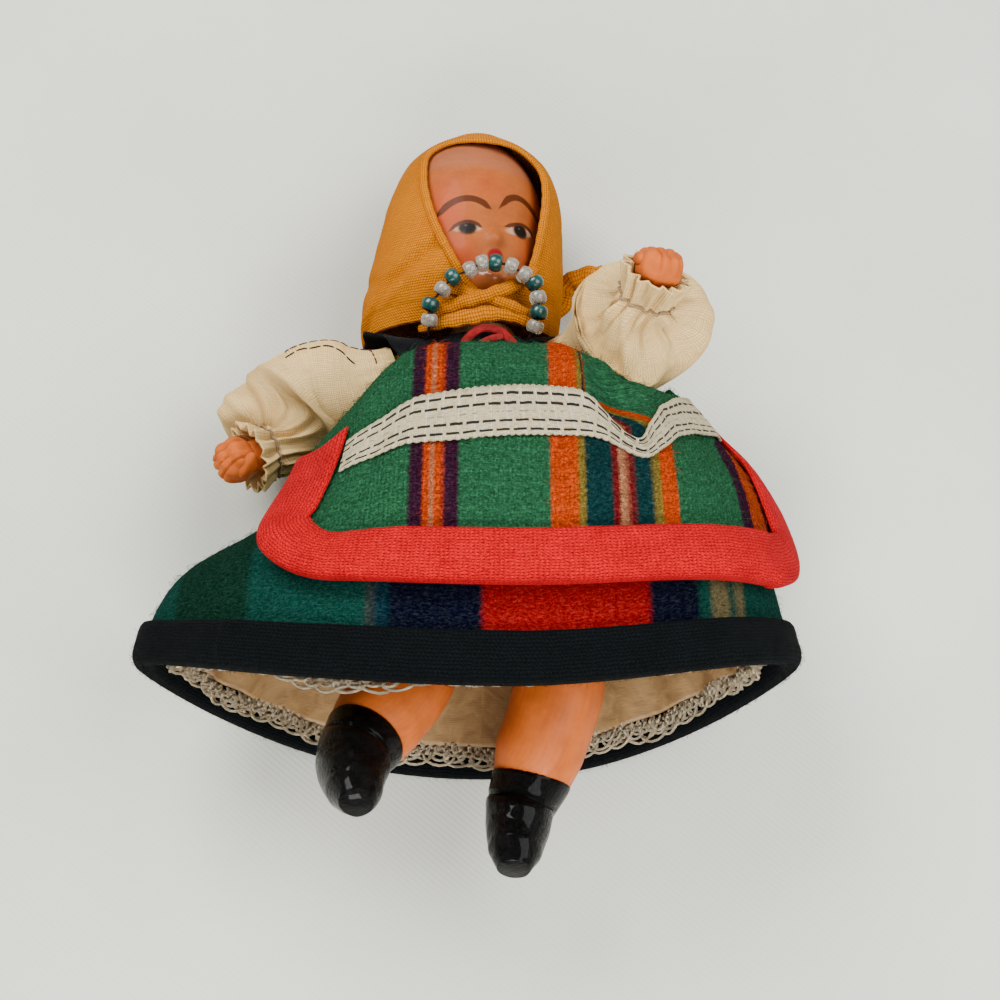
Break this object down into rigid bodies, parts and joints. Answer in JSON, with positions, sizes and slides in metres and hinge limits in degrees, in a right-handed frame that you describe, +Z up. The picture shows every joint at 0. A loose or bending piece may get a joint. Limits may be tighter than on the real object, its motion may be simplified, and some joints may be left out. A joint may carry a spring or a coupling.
{
  "type": "doll",
  "caption": "Strung composition doll in regional dress, lying on its back, with turning head and swinging arms and legs.",
  "frame": {"origin": "under the middle of the lying doll, on the surface it lies on", "axes": "+Z up, out of the doll's front; +Y from the feet to the head; +X to the right of someone who faces it"},
  "size_m": [0.1012, 0.128, 0.055],
  "materials": {
    "composition": "bare sawdust composition, matt",
    "painted_composition": "flesh-coloured oil paint on composition, soft gloss; boots black gloss",
    "elastic": "braided cotton over rubber",
    "wire": "soft iron wire",
    "cream_cotton": "plain-weave cotton, matt",
    "black_velvet": "cotton velvet",
    "red_ribbon": "narrow satin ribbon",
    "lining": "satin lining, soft sheen",
    "lace": "crocheted cotton",
    "striped_wool": "striped woven wool",
    "black_braid": "knitted wool braid",
    "apron_wool": "ribbed woven wool with stripes",
    "red_braid": "knitted wool braid",
    "woven_ribbon": "woven ribbon with black stitches",
    "yellow_cotton": "plain-weave cotton, matt",
    "thread": "twisted cotton thread",
    "green_glass": "opaque glass seed bead, gloss",
    "clear_glass": "clear glass seed bead"
  },
  "bodies": {
    "torso": {"torso": "composition", "shoulder_elastic": "elastic", "hip_elastic": "elastic", "blouse_body": "cream_cotton", "bodice": "black_velvet", "bodice_ribbon": "red_ribbon", "waistband": "cream_cotton", "petticoat": "lining", "petticoat_lace": "lace", "skirt": "striped_wool", "skirt_hem_braid": "black_braid", "apron": "apron_wool", "apron_braid": "red_braid", "apron_ribbon": "woven_ribbon"},
    "head": {"head": "painted_composition", "neck_hook": "wire", "headscarf": "yellow_cotton", "necklace_thread": "thread", "clear_bead_1": "clear_glass", "clear_bead_2": "clear_glass", "clear_bead_3": "clear_glass", "clear_bead_4": "clear_glass", "clear_bead_5": "clear_glass", "clear_bead_6": "clear_glass", "clear_bead_7": "clear_glass", "clear_bead_8": "clear_glass", "green_bead_1": "green_glass", "green_bead_2": "green_glass", "green_bead_3": "green_glass", "green_bead_4": "green_glass", "green_bead_5": "green_glass"},
    "left_arm": {"left_arm": "painted_composition", "left_sleeve": "cream_cotton", "left_wrist_thread": "cream_cotton"},
    "right_arm": {"right_arm": "painted_composition", "right_sleeve": "cream_cotton", "right_wrist_thread": "cream_cotton"},
    "left_leg": {"left_leg": "painted_composition"},
    "right_leg": {"right_leg": "painted_composition"}
  },
  "joints": [
    {"name": "neck_turn", "type": "hinge", "parent": "torso", "child": "head", "pos_m": [0.002, 0.0265, 0.017], "axis": [0, 1, 0], "range_deg": [-15, 8]},
    {"name": "left_shoulder", "type": "hinge", "parent": "torso", "child": "left_arm", "pos_m": [-0.0096, 0.018, 0.018], "axis": [-1, 0, 0], "range_deg": [-5, 110]},
    {"name": "right_shoulder", "type": "hinge", "parent": "torso", "child": "right_arm", "pos_m": [0.0136, 0.018, 0.018], "axis": [-1, 0, 0], "range_deg": [0, 35]},
    {"name": "left_hip", "type": "hinge", "parent": "torso", "child": "left_leg", "pos_m": [-0.0072, -0.0132, 0.0195], "axis": [-1, 0, 0], "range_deg": [-30, 5]},
    {"name": "right_hip", "type": "hinge", "parent": "torso", "child": "right_leg", "pos_m": [0.0112, -0.0132, 0.0195], "axis": [-1, 0, 0], "range_deg": [-10, 25]}
  ]
}
